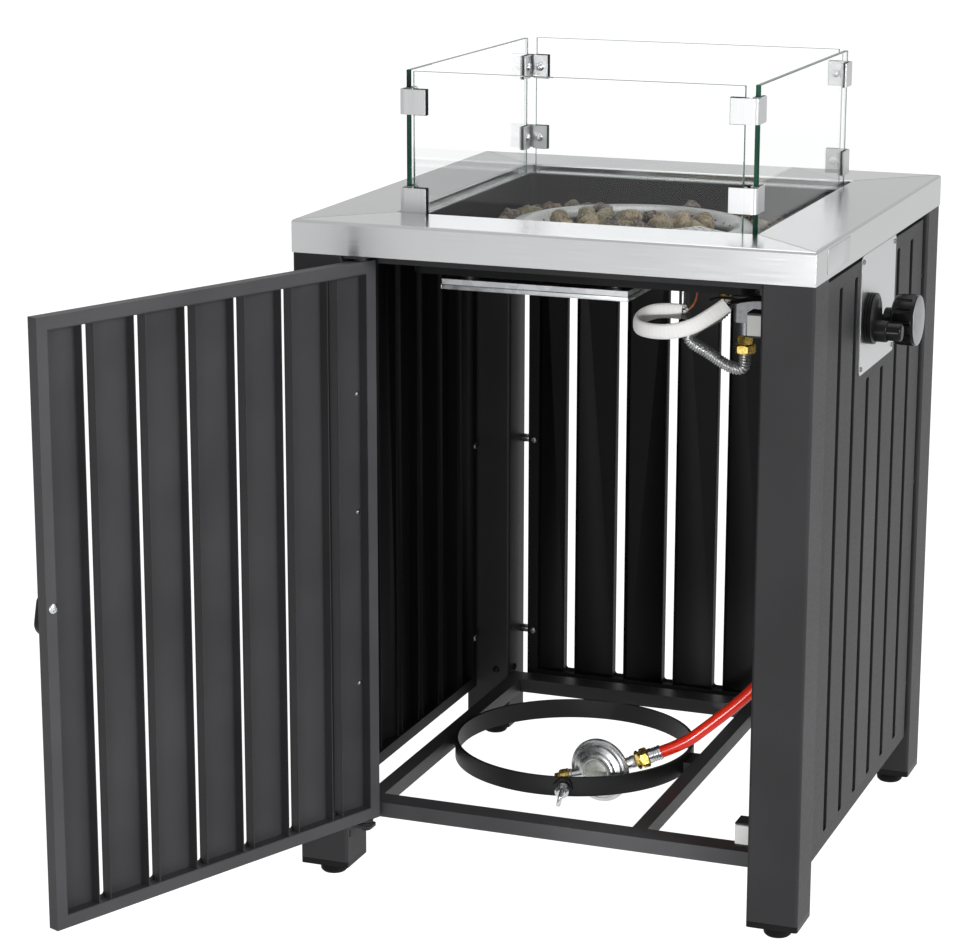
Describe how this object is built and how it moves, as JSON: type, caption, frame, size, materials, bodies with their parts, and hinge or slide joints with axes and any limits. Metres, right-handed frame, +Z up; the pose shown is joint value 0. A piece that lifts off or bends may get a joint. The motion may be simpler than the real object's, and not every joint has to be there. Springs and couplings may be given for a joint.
{
  "type": "fire pit table",
  "caption": "Square gas fire pit table with a slatted cabinet, hinged door, sunken burner bowl, lift-off glass wind guard and a ring for the gas bottle.",
  "frame": {"origin": "on the floor under the centre of the square top", "axes": "+Z up, +Y from the door side to the back, +X towards the side with the gas knob"},
  "size_m": [0.6443, 0.8571, 0.792],
  "materials": {
    "stainless_top": "brushed stainless steel",
    "charcoal_powder_coat": "satin charcoal powder coat",
    "black_plastic": "moulded black plastic",
    "foot_rubber": "matte black rubber",
    "zinc_screws": "bright zinc plating",
    "white_plastic": "moulded white plastic",
    "black_enamel": "heat resistant black coating",
    "burner_steel": "pressed stainless steel",
    "lava_stone": "rough porous lava rock",
    "galvanised_sheet": "galvanised steel sheet",
    "control_plate_steel": "satin steel, bare",
    "die_cast_alloy": "die-cast alloy",
    "brass": "turned brass",
    "knob_silver": "satin silver",
    "corrugated_steel": "corrugated stainless tube",
    "glass_fibre_sleeve": "woven glass fibre sleeve",
    "black_rubber_lead": "black silicone insulation",
    "red_hose_rubber": "smooth orange-red rubber",
    "ferrule_chrome": "plated crimp ferrule",
    "clear_glass": "clear tempered glass, polished edges",
    "clip_steel": "satin stainless strip"
  },
  "bodies": {
    "table": {"base_bars": "charcoal_powder_coat", "bottle_ring": "charcoal_powder_coat", "brass_unions": "brass", "burner_ring": "burner_steel", "catch_brackets": "charcoal_powder_coat", "catch_magnets": "white_plastic", "control_plate": "control_plate_steel", "feet": "foot_rubber", "fibre_sleeve": "glass_fibre_sleeve", "fire_bowl": "black_enamel", "gas_hose": "red_hose_rubber", "gas_pipe": "corrugated_steel", "gas_valve": "die_cast_alloy", "heat_shield": "galvanised_sheet", "hinge_brackets": "charcoal_powder_coat", "hinge_pins": "charcoal_powder_coat", "hose_brassware": "brass", "hose_ferrules": "ferrule_chrome", "igniter_battery": "black_plastic", "igniter_housing": "black_plastic", "igniter_lead": "black_rubber_lead", "lava_rocks": "lava_stone", "leg_back_left": "charcoal_powder_coat", "leg_back_right": "charcoal_powder_coat", "leg_end_caps": "black_plastic", "leg_front_left": "charcoal_powder_coat", "leg_front_right": "charcoal_powder_coat", "panel_frame_back": "charcoal_powder_coat", "panel_frame_left": "charcoal_powder_coat", "panel_frame_right": "charcoal_powder_coat", "panel_screws": "zinc_screws", "panel_sheet_back": "charcoal_powder_coat", "panel_sheet_left": "charcoal_powder_coat", "panel_sheet_right": "charcoal_powder_coat", "pilot_burner": "burner_steel", "pilot_hood": "burner_steel", "pilot_pipe": "corrugated_steel", "regulator": "die_cast_alloy", "top_rail_back": "stainless_top", "top_rail_front": "stainless_top", "top_rail_left": "stainless_top", "top_rail_right": "stainless_top", "upper_bars": "charcoal_powder_coat", "valve_bracket": "charcoal_powder_coat"},
    "door": {"door_frame": "charcoal_powder_coat", "door_sheet": "charcoal_powder_coat", "door_rivets": "charcoal_powder_coat", "door_knob": "black_plastic", "door_knob_screw": "zinc_screws"},
    "stem": {"valve_stem": "die_cast_alloy"},
    "knob": {"gas_knob": "black_plastic", "knob_cap": "knob_silver"},
    "igniter": {"igniter_button": "black_plastic"},
    "bottle_clamp": {"clamp_screw": "zinc_screws"},
    "glass_guard": {"guard_pane_front": "clear_glass", "guard_pane_back": "clear_glass", "guard_pane_left": "clear_glass", "guard_pane_right": "clear_glass", "guard_clips": "clip_steel", "guard_clip_screws": "zinc_screws"}
  },
  "joints": [
    {"name": "door_hinge", "type": "hinge", "parent": "table", "child": "door", "pos_m": [-0.187, -0.2445, 0.34], "axis": [0, 0, 1], "range_deg": [-17, 113]},
    {"name": "knob_push", "type": "slide", "parent": "table", "child": "stem", "axis": [-1, 0, 0], "range_m": [0, 0.004], "stiffness_N_per_m": 900},
    {"name": "knob_turn", "type": "hinge", "parent": "stem", "child": "knob", "pos_m": [0.275, 0.011, 0.551], "axis": [1, 0, 0], "range_deg": [0, 180]},
    {"name": "igniter_push", "type": "slide", "parent": "table", "child": "igniter", "axis": [-1, 0, 0], "range_m": [0, 0.0035], "stiffness_N_per_m": 800},
    {"name": "clamp_travel", "type": "slide", "parent": "table", "child": "bottle_clamp", "axis": [-0.2419, 0.9703, 0], "range_m": [-0.004, 0.004]},
    {"name": "guard_lift", "type": "slide", "parent": "table", "child": "glass_guard", "axis": [0, 0, 1], "range_m": [0, 0.2]}
  ]
}
